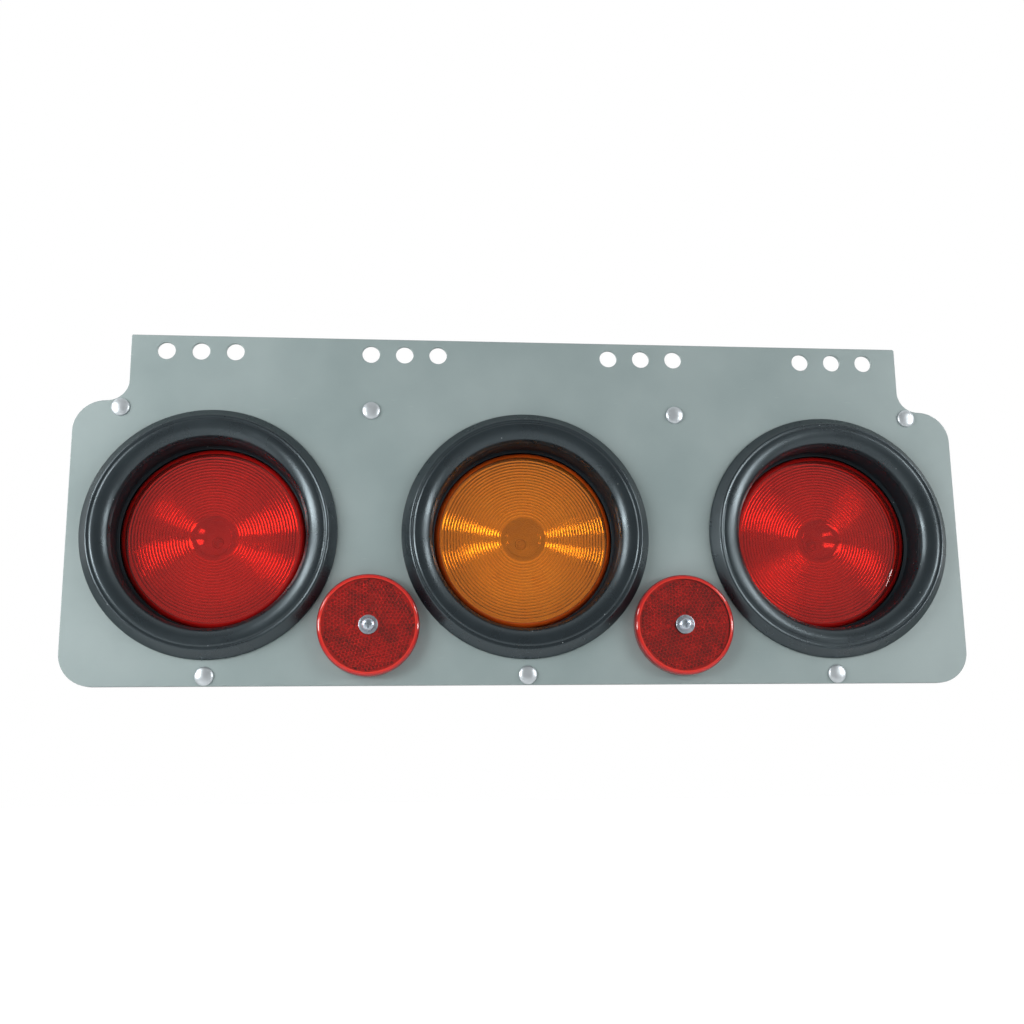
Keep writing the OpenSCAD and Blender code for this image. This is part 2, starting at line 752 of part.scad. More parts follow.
// Places its children at both reflectors' axes
module at_reflectors() {
    for (x = [-reflector_x, reflector_x]) on_front(x, reflector_y) children();
}

// Pan head screw with a cross recess
module reflector_screws() {
    seat_z = reflector_t + washer_t;
    tail = 2;
    end_z = -plate_t - nut_t - tail;
    head_r = screw_head_d / 2;
    wing_l = screw_head_d * 0.62;
    wing_w = 0.9;
    wing_depth = 1.4;
    color(metal_colour) at_reflectors() difference() {
        union() {
            translate([0, 0, end_z]) cylinder(d = screw_d, h = seat_z - end_z);
            translate([0, 0, seat_z]) turned(concat(
                [[0, 0], [head_r, 0]],
                arc_points([0, 0.4], [head_r, screw_head_h - 0.4], 0, 90)
            ));
        }
        for (a = [0, 90]) rotate([0, 0, a])
            translate([-wing_l / 2, -wing_w / 2, seat_z + screw_head_h - wing_depth])
                cube([wing_l, wing_w, wing_depth + cut_over]);
    }
}

module reflector_washers() {
    color(metal_colour) at_reflectors()
        translate([0, 0, reflector_t]) tube(washer_d, screw_d + 2 * pin_fit, washer_t);
}

// Lock nut with a plain collar at its end
module reflector_nuts() {
    collar_h = 1.4;
    color(metal_colour) at_reflectors() translate([0, 0, -plate_t - nut_t]) difference() {
        union() {
            translate([0, 0, collar_h]) hexagon(nut_af, nut_t - collar_h);
            cylinder(d = nut_af - 0.6, h = nut_t - collar_h / 2);
        }
        translate([0, 0, -cut_over]) cylinder(d = screw_d + 2 * pin_fit, h = nut_t + 2 * cut_over);
    }
}

face_plate();
gasket();
rear_box();
rivets();
grommet(left_x);  // grommet_left
grommet(0);  // grommet_centre
grommet(right_x);  // grommet_right
lens(left_x, red_lens_colour);  // lens_left
lens(0, amber_lens_colour);  // lens_centre
lens(right_x, red_lens_colour);  // lens_right
housing(left_x);  // housing_left
housing(0);  // housing_centre
housing(right_x);  // housing_right
bowl(left_x);  // bowl_left
bowl(0);  // bowl_centre
bowl(right_x);  // bowl_right
board(left_x);  // board_left
board(0);  // board_centre
board(right_x);  // board_right
leds(left_x);  // leds_left
leds(0);  // leds_centre
leds(right_x);  // leds_right
terminals(left_x);  // terminals_left
terminals(0);  // terminals_centre
terminals(right_x);  // terminals_right
plug(left_x, 1);  // plug_left
plug(0, 1);  // plug_centre
plug(right_x, -1);  // plug_right
lead(lead_left_route);  // lead_left
lead(lead_centre_route);  // lead_centre
lead(lead_right_route);  // lead_right
lead_clips();
inlet_socket();
inlet_contacts();
inlet_seal();
inlet_nut();
reflector(-reflector_x);  // reflector_left
reflector(reflector_x);  // reflector_right
reflector_backing(-reflector_x);  // reflector_backing_left
reflector_backing(reflector_x);  // reflector_backing_right
reflector_screws();
reflector_washers();
reflector_nuts();
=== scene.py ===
import json
import math

import bmesh
import bpy
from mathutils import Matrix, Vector, geometry


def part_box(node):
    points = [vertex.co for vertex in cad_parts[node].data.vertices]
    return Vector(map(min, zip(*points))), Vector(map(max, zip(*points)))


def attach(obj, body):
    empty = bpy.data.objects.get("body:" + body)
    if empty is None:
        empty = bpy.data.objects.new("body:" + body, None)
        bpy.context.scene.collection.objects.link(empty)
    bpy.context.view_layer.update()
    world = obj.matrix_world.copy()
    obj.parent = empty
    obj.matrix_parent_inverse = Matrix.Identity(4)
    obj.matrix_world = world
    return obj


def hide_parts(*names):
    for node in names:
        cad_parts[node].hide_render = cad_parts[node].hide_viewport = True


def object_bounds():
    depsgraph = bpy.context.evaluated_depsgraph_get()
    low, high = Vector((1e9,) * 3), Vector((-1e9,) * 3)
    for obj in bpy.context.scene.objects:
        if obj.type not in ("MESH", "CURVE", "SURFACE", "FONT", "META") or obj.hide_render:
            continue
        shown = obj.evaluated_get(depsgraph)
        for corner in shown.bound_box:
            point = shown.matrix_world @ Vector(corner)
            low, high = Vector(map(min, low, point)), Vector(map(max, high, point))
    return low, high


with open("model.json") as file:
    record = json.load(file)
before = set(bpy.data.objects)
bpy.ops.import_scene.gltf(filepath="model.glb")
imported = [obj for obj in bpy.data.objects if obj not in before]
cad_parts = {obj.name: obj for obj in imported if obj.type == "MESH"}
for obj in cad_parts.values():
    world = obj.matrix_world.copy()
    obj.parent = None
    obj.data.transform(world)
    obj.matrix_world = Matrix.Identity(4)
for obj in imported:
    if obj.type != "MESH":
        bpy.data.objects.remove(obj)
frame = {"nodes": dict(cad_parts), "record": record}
cad_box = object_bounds()

# The named sizes of the part are in millimetres, and "ahead" is the distance in front of the plate's front
# face, towards the viewer. Centres and corners that come from the frame are in metres, like the stage.
MM = 0.001
BODY = "root"
SIDES = ("left", "centre", "right")
ENDS = ("left", "right")
RED_SIDES = ("left", "right")

plate_low, plate_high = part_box("face_plate")
FRONT_Y = plate_low.y
PLATE_T = (plate_high.y - plate_low.y) / MM


def round_place(node):
    """Centre of a node that is round about an axis along Y."""
    low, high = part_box(node)
    return Vector(((low.x + high.x) / 2, 0, (low.z + high.z) / 2))


def ahead_of(y):
    """How far a y of the frame lies ahead of the plate's front face, in millimetres."""
    return (FRONT_Y - y) / MM


# Lens
LENS_R = 48.7
LENS_EDGE_R = 2.5
LENS_INNER_R = 45.8
LENS_WALL = 2.6
LENS_CROWN = 0.8
RING_COUNT = 20
RING_INNER_R = 12.5
RING_MARGIN = 1
RING_DEPTH = 0.145
MIDDLE_BLEND = 0.6
NOTCH_SHARE = 0.05
NOTCH_DEPTH = 0.06
DISC_RING_R = 8.6
DISC_RING_W = 1.4
FACE_RECESS = 14.0
FLANGE_RECESS = 17.5
FLANGE_T = 3.0
LAMP_FLANGE_R = 54.0

# Grommet
GROMMET_R = 66.7
GROMMET_MOUTH_R = 49.0
GROMMET_WELL_R = 50.3
BEAD_W = 9.0
BEAD_H = 7.0
EDGE_LINE_R = 61.8
EDGE_ROUND = 1.15
CUTOUT_R = 57.15
GROMMET_LIP_R = 59.45
BARREL_R = 57.85
TAIL_R = 50.3
TAIL_RECESS = 27.0
HOUSING_FLANGE_RECESS = 23.0

# Plate
CORNER_R = 17.0
TAB_INSET = 28.3
SHOULDER_DROP = 28.3
TAB_FILLET = 11.3
TAB_CORNER_R = 0.9
PLATE_EDGE_R = 0.35
RIVET_HOLE_R = 2.45
SCREW_HOLE_R = 2.15

# Rear box
BOX_T = 1.2
FLANGE_W = 11.0
FLANGE_RISE = 1.5
BOX_CORNER_R = 14.0
BOX_BEND_R = 5.0
BOX_ROOT_R = 2.0
INLET_HOLE_R = 14.05
DRAIN_R = 3.0

# Rivets and reflectors
RIVET_R = 4.9
RIVET_H = 2.1
RIVET_RIM_H = 0.35
RIVET_SHANK_R = 2.4
RIVET_BULB_R = 3.4
RIVET_TOP_DROP = 3.8
RIVET_BOTTOM_RISE = 5.1
END_RIVET_OUT = 49.1
REFLECTOR_R = 26.7
REFLECTOR_RIM = 2.3
REFLECTOR_EDGE_R = 1.9
REFLECTOR_FACE_T = 3.0
WASHER_R = 5.0
WASHER_EDGE_R = 0.25
WASHER_BEVEL = 0.2

# Reflector prisms: rings of a cell from its foot to its middle, each with its reach as a share of the pitch,
# its height and how much painted shade it gets, then the tip, and the sectors with their start, end and lean
PRISM_GAP = 0.1
CELL_PITCH = 1.95
LAND_DROP = 0.7
LAND_T = 0.4
FOOT_SINK = 0.1
CELL_RINGS = (
    (0.495, -LAND_DROP - FOOT_SINK, 0.4),
    (0.495, 0.0, 0.0),
    (0.40, -0.08, 0.75),
    (0.22, -0.45, 1.0),
)
CELL_TIP_HEIGHT = -0.6
CELL_TIP_DARK = 0.85
CELL_CLEAR_SHARE = 0.45
PRISM_SECTORS = ((-6, 90, 0), (90, 186, 30), (186, 354, 15))

# Mesh fineness, and the slack for faces that are told apart by their distance from an axis
ROUND_STEPS = 160
LENS_STEPS = 192
REFLECTOR_STEPS = 96
SMALL_STEPS = 48
HOLE_STEPS = 24
CORNER_STEPS = 14
PLATE_CORNER_STEPS = 12
TAB_CORNER_STEPS = 4
EDGE_STEPS = 3
ROOT_STEPS = 5
BEND_STEPS = 9
BEAD_STEPS = 14
RING_STEPS = 8
CROWN_STEPS = 12
LENS_EDGE_STEPS = 8
REFLECTOR_EDGE_STEPS = 10
DOME_STEPS = 12
SHARP_DEG = 32.0
MARK_SLACK = 0.15

# Room: the even fill on the object, how bright the room in front and the floor are in gloss, and the Y of
# the directions between which the room in gloss grows to white
FILL = 0.17
ROOM_GLOSS = 0.19
FLOOR_GLOSS = 0.2
ROOM_FRONT = -0.7
ROOM_SIDE = -0.1

# Floor: how far it lies below the object, and its glow near the middle, which grows to 1 further out
FLOOR_W = 12
FLOOR_DROP = 0.24
FLOOR_GLOW = 0.62
GLOW_START_R = 0.3
GLOW_END_R = 0.9

# Softboxes: name, place, width, height and power in watts
LIGHT_AIM = (0, 0, -0.1)
SOFTBOXES = (
    ("left_low", (-0.64, -0.44, -0.08), 0.42, 0.12, 2.8),
    ("left_high", (-0.64, -0.44, 0.20), 0.42, 0.12, 2.0),
    ("right_low", (0.64, -0.44, -0.08), 0.42, 0.09, 1.8),
    ("right_high", (0.64, -0.44, 0.20), 0.42, 0.09, 1.3),
    ("rear_left", (-0.8, 0.9, 0.45), 0.6, 0.6, 7),
    ("rear_right", (0.8, 0.9, 0.45), 0.6, 0.6, 7),
)

# Camera, fitted to the photograph: place, turn in degrees, and lens and sensor in millimetres
CAMERA_PLACE = (-0.0678, -0.6488, -0.2201)
CAMERA_TURN = (101.539, 0.610, -5.207)
CAMERA_LENS = 43.27
CAMERA_SENSOR = 36


def srgb(red, green, blue):
    """A colour as it looks on screen, from 0 to 255, turned into the linear values that nodes take."""
    shares = [c / 255 for c in (red, green, blue)]
    return tuple(c / 12.92 if c <= 0.04045 else ((c + 0.055) / 1.055) ** 2.4 for c in shares)


# Materials

def start_material(name):
    """A new node material with its Principled shader and a mapping of the part's own frame."""
    material = bpy.data.materials.new(name)
    material.use_nodes = True
    tree = material.node_tree
    shader = next(n for n in tree.nodes if n.type == "BSDF_PRINCIPLED")
    place = tree.nodes.new("ShaderNodeTexCoord")
    return material, tree, shader, place.outputs["Object"]


def noise(tree, place, grain_mm, detail=3.0, stretch=(1, 1, 1)):
    """Factor of a noise whose grains are about grain_mm across, and longer along an axis of low stretch."""
    mapping = tree.nodes.new("ShaderNodeMapping")
    mapping.inputs["Scale"].default_value = [s / (grain_mm * MM) for s in stretch]
    texture = tree.nodes.new("ShaderNodeTexNoise")
    texture.inputs["Scale"].default_value = 1.0
    texture.inputs["Detail"].default_value = detail
    tree.links.new(place, mapping.inputs["Vector"])
    tree.links.new(mapping.outputs["Vector"], texture.inputs["Vector"])
    return texture.outputs["Fac"]


def blend_colours(tree, share, first, second):
    """Mixes two colours, or colour sockets, by a share."""
    mix = tree.nodes.new("ShaderNodeMix")
    mix.data_type = "RGBA"
    tree.links.new(share, mix.inputs["Factor"])
    for socket, colour in ((mix.inputs[6], first), (mix.inputs[7], second)):
        if isinstance(colour, tuple):
            socket.default_value = (*colour, 1)
        else:
            tree.links.new(colour, socket)
    return mix.outputs[2]


def spread(tree, value, low, high, new_low=0.0, new_high=1.0):
    """Maps a value from one range to another and holds it there."""
    node = tree.nodes.new("ShaderNodeMapRange")
    node.inputs["From Min"].default_value = low
    node.inputs["From Max"].default_value = high
    node.inputs["To Min"].default_value = new_low
    node.inputs["To Max"].default_value = new_high
    tree.links.new(value, node.inputs["Value"])
    return node.outputs["Result"]


def relief(tree, shader, height, depth_mm):
    """Bump from a height factor, whose full height is depth_mm."""
    bump = tree.nodes.new("ShaderNodeBump")
    bump.inputs["Distance"].default_value = depth_mm * MM
    tree.links.new(height, bump.inputs["Height"])
    tree.links.new(bump.outputs["Normal"], shader.inputs["Normal"])


def set_sockets(shader, sockets):
    """Sets values that are the same all over the surface on the shader's own sockets."""
    for name, value in sockets.items():
        shader.inputs[name].default_value = value


def plain_finish(name, dark, light, patch_mm, rough, grain_mm, depth_mm, **sockets):
    """A finish whose colour and roughness drift in soft patches over a fine grain."""
    material, tree, shader, place = start_material(name)
    patches = noise(tree, place, patch_mm)
    tree.links.new(blend_colours(tree, patches, dark, light), shader.inputs["Base Color"])
    tree.links.new(spread(tree, patches, 0.3, 0.7, *rough), shader.inputs["Roughness"])
    relief(tree, shader, noise(tree, place, grain_mm, 2.0), depth_mm)
    set_sockets(shader, sockets)
    return material


def specks(tree, place, spacing_mm, size):
    """Share that is 1 in the middle of small round specks and 0 between them."""
    mapping = tree.nodes.new("ShaderNodeMapping")
    mapping.inputs["Scale"].default_value = [1 / (spacing_mm * MM)] * 3
    cells = tree.nodes.new("ShaderNodeTexVoronoi")
    cells.inputs["Scale"].default_value = 1.0
    tree.links.new(place, mapping.inputs["Vector"])
    tree.links.new(mapping.outputs["Vector"], cells.inputs["Vector"])
    return spread(tree, cells.outputs["Distance"], size, size * 0.4)


def rubber_finish(name, rough, gloss):
    """Satin moulded rubber with fine pores and a little dust."""
    material, tree, shader, place = start_material(name)
    patches = noise(tree, place, 14)
    base = blend_colours(tree, patches, srgb(7, 14, 18), srgb(14, 23, 28))
    dusty = blend_colours(tree, specks(tree, place, 7.0, 0.05), base, srgb(150, 158, 160))
    tree.links.new(dusty, shader.inputs["Base Color"])
    tree.links.new(spread(tree, patches, 0.3, 0.7, *rough), shader.inputs["Roughness"])
    relief(tree, shader, noise(tree, place, 0.5, 2.0), 0.008)
    # The bluish specular tint is painted light: it tints every reflection on the rubber as if the lamps were
    # bluish
    set_sockets(shader, {"Specular IOR Level": gloss, "Specular Tint": (0.78, 0.93, 1.0, 1)})
    return material


def plate_finish():
    """Smooth satin paint with faint orange peel, soft smudges and a few fine scuffs."""
    material, tree, shader, place = start_material("plate_finish")
    smudges = noise(tree, place, 60, 4.0)
    base = blend_colours(tree, spread(tree, smudges, 0.35, 0.65), srgb(136, 151, 151), srgb(146, 160, 160))
    scuffs = spread(tree, noise(tree, place, 2.0, 3.0, (0.15, 1, 1.6)), 0.70, 0.78, 0.0, 0.5)
    tree.links.new(blend_colours(tree, scuffs, base, srgb(162, 174, 174)), shader.inputs["Base Color"])
    tree.links.new(spread(tree, smudges, 0.3, 0.7, 0.36, 0.48), shader.inputs["Roughness"])
    relief(tree, shader, noise(tree, place, 1.1, 2.0), 0.012)
    return material


def radius_from(tree, place, centre):
    """Distance from an axis along Y through centre, in metres."""
    shift = tree.nodes.new("ShaderNodeVectorMath")
    shift.operation = "SUBTRACT"
    shift.inputs[1].default_value = centre
    flat = tree.nodes.new("ShaderNodeVectorMath")
    flat.operation = "MULTIPLY"
    flat.inputs[1].default_value = (1, 0, 1)
    length = tree.nodes.new("ShaderNodeVectorMath")
    length.operation = "LENGTH"
    tree.links.new(place, shift.inputs[0])
    tree.links.new(shift.outputs["Vector"], flat.inputs[0])
    tree.links.new(flat.outputs["Vector"], length.inputs[0])
    return length.outputs["Value"]


def lens_finish(name, centre, face, middle):
    """Clear tinted plastic with a deeper plain middle."""
    material, tree, shader, place = start_material(name)
    radius = radius_from(tree, place, centre)
    in_middle = spread(tree, radius, RING_INNER_R * MM, (RING_INNER_R - MIDDLE_BLEND) * MM)
    tree.links.new(blend_colours(tree, in_middle, face, middle), shader.inputs["Base Color"])
    haze = noise(tree, place, 22, 4.0)
    tree.links.new(spread(tree, haze, 0.45, 0.75, 0.03, 0.12), shader.inputs["Roughness"])
    relief(tree, shader, noise(tree, place, 9.0, 2.0), 0.01)
    set_sockets(shader, {"Transmission Weight": 0.85, "IOR": 1.49, "Specular IOR Level": 1.0})
    return material


def ring_finish(name, centre, dark, light):
    """The lens's rings, whose flanks throw back much of the light that falls on them."""
    material, tree, shader, place = start_material(name)
    drift = noise(tree, place, 10, 3.0)
    tree.links.new(blend_colours(tree, drift, dark, light), shader.inputs["Base Color"])
    tree.links.new(spread(tree, drift, 0.3, 0.7, 0.04, 0.1), shader.inputs["Roughness"])
    relief(tree, shader, noise(tree, place, 2.4, 2.0), 0.006)
    radius = radius_from(tree, place, centre)
    flank = spread(tree, radius, (RING_INNER_R - MIDDLE_BLEND) * MM, RING_INNER_R * MM, 0.12, 0.6)
    tree.links.new(flank, shader.inputs["Metallic"])
    set_sockets(shader, {"Transmission Weight": 1.0, "IOR": 1.49})
    return material


def lens_edge_finish(name, dark, light):
    """The lens's edge and skirt, where the tint is seen through far more plastic."""
    return plain_finish(
        name, dark, light, 6, (0.08, 0.18), 5.0, 0.01,
        **{"Transmission Weight": 0.25, "IOR": 1.49, "Specular IOR Level": 0.3},
    )


def reflector_finish():
    """Clear red plastic of the reflectors' faces."""
    material, tree, shader, place = start_material("reflector_finish")
    drift = noise(tree, place, 12)
    tint = blend_colours(tree, drift, srgb(250, 110, 96), srgb(252, 124, 108))
    tree.links.new(tint, shader.inputs["Base Color"])
    tree.links.new(spread(tree, drift, 0.3, 0.7, 0.02, 0.07), shader.inputs["Roughness"])
    relief(tree, shader, noise(tree, place, 6.0, 2.0), 0.006)
    set_sockets(shader, {"Transmission Weight": 1.0, "IOR": 1.49, "Specular IOR Level": 0.8})
    return material


def rim_finish(name, centre):
    """A reflector's rim, with a painted bright line around the prisms and painted shade deeper at its edge.
    """
    material, tree, shader, place = start_material(name)
    radius = radius_from(tree, place, centre)
    drift = noise(tree, place, 3.0, 3.0)
    base = blend_colours(tree, drift, srgb(222, 18, 14), srgb(240, 26, 20))
    # Painted shade, deeper towards the rim's outer edge
    edge = spread(tree, radius, (REFLECTOR_R - 1.2) * MM, (REFLECTOR_R - 0.3) * MM)
    # A painted bright line around the prisms
    inner_r = REFLECTOR_R - REFLECTOR_RIM
    line = spread(tree, radius, (inner_r + 0.9) * MM, (inner_r + 0.5) * MM)
    colour = blend_colours(tree, edge, base, srgb(150, 14, 14))
    colour = blend_colours(tree, line, colour, srgb(250, 62, 48))
    tree.links.new(colour, shader.inputs["Base Color"])
    tree.links.new(spread(tree, drift, 0.3, 0.7, 0.04, 0.12), shader.inputs["Roughness"])
    relief(tree, shader, noise(tree, place, 4.0, 2.0), 0.01)
    set_sockets(shader, {"Transmission Weight": 0.3, "IOR": 1.49, "Specular IOR Level": 0.7})
    return material


def prism_finish():
    """Prism cells behind a reflector's face: painted shade in their middles, painted light on their edges.
    """
    material, tree, shader, place = start_material("prism_finish")
    # Painted shade: a vertex layer that darkens each cell towards its middle, over painted light at its
    # edges
    depth = tree.nodes.new("ShaderNodeAttribute")
    depth.attribute_name = "painted_cell_shade"
    drift = spread(tree, noise(tree, place, 8.0, 4.0), 0.4, 0.6)
    lit = blend_colours(tree, drift, srgb(158, 30, 26), srgb(190, 38, 32))
    dark = blend_colours(tree, drift, srgb(66, 36, 42), srgb(116, 36, 38))
    cells = blend_colours(tree, depth.outputs["Fac"], lit, dark)
    # Painted glints: small bright specks laid over the cells
    glints = specks(tree, place, 2.6, 0.1)
    tree.links.new(blend_colours(tree, glints, cells, srgb(255, 120, 104)), shader.inputs["Base Color"])
    tree.links.new(spread(tree, drift, 0, 1, 0.12, 0.3), shader.inputs["Roughness"])
    relief(tree, shader, noise(tree, place, 0.6, 2.0), 0.02)
    return material


def metal_finish(name, dark, light, rough, metallic=1.0):
    """Bare or plated metal with a fine soft grain."""
    return plain_finish(name, dark, light, 3.0, rough, 0.8, 0.01, Metallic=metallic)


MATERIALS = {
    "plate_paint": plate_finish(),
    "box_paint": plain_finish(
        "box_finish", srgb(132, 145, 143), srgb(142, 155, 152), 45, (0.38, 0.5), 1.0, 0.02
    ),
    "foam": plain_finish("foam_finish", srgb(30, 31, 33), srgb(44, 45, 47), 3, (0.85, 0.95), 0.6, 0.25),
    "rubber": rubber_finish("rubber_finish", (0.25, 0.33), 0.9),
    "plug_rubber": plain_finish(
        "plug_finish", srgb(26, 26, 28), srgb(38, 38, 40), 6, (0.5, 0.65), 0.5, 0.03
    ),
    "lead_sheath": plain_finish(
        "sheath_finish", srgb(24, 24, 26), srgb(34, 34, 36), 8, (0.4, 0.55), 0.8, 0.04
    ),
    "black_plastic": plain_finish(
        "black_finish", srgb(26, 27, 29), srgb(38, 39, 41), 7, (0.42, 0.56), 0.35, 0.02
    ),
    "white_plastic": plain_finish(
        "white_finish", srgb(232, 232, 226), srgb(243, 243, 238), 9, (0.2, 0.32), 1.2, 0.01
    ),
    "natural_nylon": plain_finish(
        "nylon_finish", srgb(216, 211, 196), srgb(228, 224, 210), 6, (0.4, 0.5), 0.7, 0.02
    ),
    "circuit_board": plain_finish(
        "board_finish", srgb(22, 82, 48), srgb(32, 98, 58), 5, (0.3, 0.42), 1.5, 0.03
    ),
    "led_epoxy": plain_finish(
        "led_finish", srgb(222, 214, 168), srgb(236, 230, 190), 2, (0.05, 0.12), 1.0, 0.01
    ),
    "brass": metal_finish("brass_finish", srgb(214, 176, 98), srgb(228, 196, 124), (0.22, 0.34)),
    "rivet_metal": metal_finish(
        "rivet_finish", srgb(184, 191, 195), srgb(202, 209, 213), (0.32, 0.42), 0.75
    ),
    "zinc_steel": metal_finish("zinc_finish", srgb(168, 178, 188), srgb(190, 199, 208), (0.22, 0.34)),
    "reflector_red": reflector_finish(),
}
PRISM_MATERIAL = prism_finish()
WELL_MATERIAL = rubber_finish("well_finish", (0.5, 0.6), 0.3)


# Mesh tools

def arc(centre, radii, start, end, steps):
    """Points of an elliptic arc in a flat plane, with angles in degrees."""
    turns = [math.radians(start + (end - start) * k / steps) for k in range(steps + 1)]
    return [(centre[0] + radii[0] * math.cos(t), centre[1] + radii[1] * math.sin(t)) for t in turns]


def circle(centre, radius, steps=SMALL_STEPS):
    """Points of a circle, without its last point again."""
    return arc(centre, (radius, radius), 0, 360, steps)[:-1]


def bridge(bm, first, second):
    """Faces between two rings of as many points, where a ring may be one point repeated."""
    count = len(first)
    for k in range(count):
        after = (k + 1) % count
        corners = list(dict.fromkeys((first[k], first[after], second[after], second[k])))
        if len(corners) > 2:
            bm.faces.new(corners)


def turn(bm, outline, centre, steps=ROUND_STEPS, closed=False):
    """Turns an outline of (radius, ahead) points in millimetres about an axis along Y through centre."""
    rings = []
    for radius, ahead in outline:
        y = FRONT_Y - ahead * MM
        if radius == 0:
            rings.append([bm.verts.new((centre.x, y, centre.z))] * steps)
            continue
        spots = circle((centre.x, centre.z), radius * MM, steps)
        rings.append([bm.verts.new((x, y, z)) for x, z in spots])
    following = rings[1:] + ([rings[0]] if closed else [])
    for first, second in zip(rings, following):
        bridge(bm, first, second)


def rounded_loop(low, high, radius, steps):
    """Points of a rectangle with round corners, anticlockwise, in millimetres."""
    corners = (
        (high[0] - radius, high[1] - radius, 0),
        (low[0] + radius, high[1] - radius, 90),
        (low[0] + radius, low[1] + radius, 180),
        (high[0] - radius, low[1] + radius, 270),
    )
    return [p for x, z, a in corners for p in arc((x, z), (radius, radius), a, a + 90, steps)]


def outwards(loop):
    """Unit directions at each point of an anticlockwise loop, away from what it encloses."""
    found = []
    for k, (x, z) in enumerate(loop):
        before = Vector(loop[k - 1])
        after = Vector(loop[(k + 1) % len(loop)])
        here = Vector((x, z))
        along = (here - before).normalized() + (after - here).normalized()
        found.append(Vector((along.y, -along.x)).normalized())
    return found


def sheet(bm, outer, holes, thickness, edge_r):
    """A flat sheet with rounded edges behind the plate's front face, from an outer loop and holes."""
    rounding = arc((-edge_r, -edge_r), (edge_r, edge_r), 90, 0, EDGE_STEPS)
    section = rounding + [(out, -thickness - ahead) for out, ahead in reversed(rounding)]
    rims = []
    for loop in [outer] + [list(reversed(h)) for h in holes]:
        rings = []
        for out, ahead in section:
            y = FRONT_Y - ahead * MM
            spots = [(x + n.x * out, z + n.y * out) for (x, z), n in zip(loop, outwards(loop))]
            rings.append([bm.verts.new((x * MM, y, z * MM)) for x, z in spots])
        for first, second in zip(rings, rings[1:]):
            bridge(bm, first, second)
        rims.append((rings[0], rings[-1]))
    fill_flat(bm, [front for front, back in rims])
    fill_flat(bm, [back for front, back in rims])


def fill_flat(bm, rings, up="z"):
    """Fills the first ring, an outline in a plane along X and the up axis, apart from convex holes in it."""
    verts = [v for ring in rings for v in ring]
    owners = [k for k, ring in enumerate(rings) for v in ring]
    spots = [Vector((v.co.x / MM, getattr(v.co, up) / MM)) for v in verts]
    edges = []
    first = 0
    for ring in rings:
        count = len(ring)
        edges += [(first + k, first + (k + 1) % count) for k in range(count)]
        first += count
    faces, origins = geometry.delaunay_2d_cdt(spots, edges, [], 1, 1e-6)[2:4]
    for face in faces:
        corners = [origins[k][0] for k in face]
        around = {owners[k] for k in corners}
        if len(around) > 1 or around == {0}:
            bm.faces.new([verts[k] for k in corners])


def mark_between(bm, centre, low, high):
    """Gives the second material to faces between two distances from the axis, in millimetres."""
    for face in bm.faces:
        middle = face.calc_center_median() - centre
        if low * MM < math.hypot(middle.x, middle.z) < high * MM:
            face.material_index = 1


def add_piece(name, bm, materials, nodes=(), even=False):
    """Makes an object of bm that rides with the part, takes the given materials and stands for CAD nodes."""
    bmesh.ops.remove_doubles(bm, verts=bm.verts, dist=1e-7)
    bmesh.ops.recalc_face_normals(bm, faces=bm.faces)
    for face in bm.faces:
        face.smooth = True
    for edge in bm.edges:
        edge.smooth = len(edge.link_faces) == 2 and edge.calc_face_angle(0) < math.radians(SHARP_DEG)
    mesh = bpy.data.meshes.new(name)
    bm.to_mesh(mesh)
    bm.free()
    for material in materials:
        mesh.materials.append(material)
    obj = bpy.data.objects.new(name, mesh)
    bpy.context.scene.collection.objects.link(obj)
    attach(obj, BODY)
    if nodes:
        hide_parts(*nodes)
    if even:
        obj.modifiers.new("even_normals", "WEIGHTED_NORMAL").keep_sharp = True


# Face plate

def hole_places():
    """Centres of the mounting holes along X, in millimetres, and their radius, from the record's mounts."""
    rows = [m["dims"] for m in frame["record"]["mounts"] if m["kind"] == "bolt_pattern"]
    return [s * d["spacing_x_mm"] / 2 for d in rows for s in (-1, 1)], rows[0]["hole_r_mm"]


def plate_loop(top):
    """The plate's outline, or with a lower top the outline of the flange behind it."""
    half = plate_high.x / MM
    bottom = plate_low.z / MM
    shoulder = -SHOULDER_DROP
    tab = half - TAB_INSET
    fillet = TAB_FILLET
    corner = (CORNER_R, CORNER_R)
    side = arc((half - CORNER_R, bottom + CORNER_R), corner, -90, 0, PLATE_CORNER_STEPS)
    side += arc((half - CORNER_R, shoulder - CORNER_R), corner, 0, 90, PLATE_CORNER_STEPS)
    rise = min(1.0, (top - shoulder) / fillet)
    last = 270 - math.degrees(math.acos(1 - rise))
    side += arc((tab + fillet, shoulder + fillet), (fillet, fillet), 270, last, PLATE_CORNER_STEPS)
    if rise == 1.0:
        tab_corner = (TAB_CORNER_R, TAB_CORNER_R)
        side += arc((tab - TAB_CORNER_R, top - TAB_CORNER_R), tab_corner, 0, 90, TAB_CORNER_STEPS)
    return side + [(-x, z) for x, z in reversed(side)]


def rivet_places():
    """Centres of the seven rivets along X and Z, in millimetres."""
    lamp_x = round_place("grommet_right").x / MM
    mid_x = round_place("reflector_right").x / MM
    top = -SHOULDER_DROP - RIVET_TOP_DROP
    bottom = plate_low.z / MM + RIVET_BOTTOM_RISE
    upper = [(x, top) for x in (-lamp_x - END_RIVET_OUT, -mid_x, mid_x, lamp_x + END_RIVET_OUT)]
    return upper + [(x, bottom) for x in (-lamp_x, 0, lamp_x)]


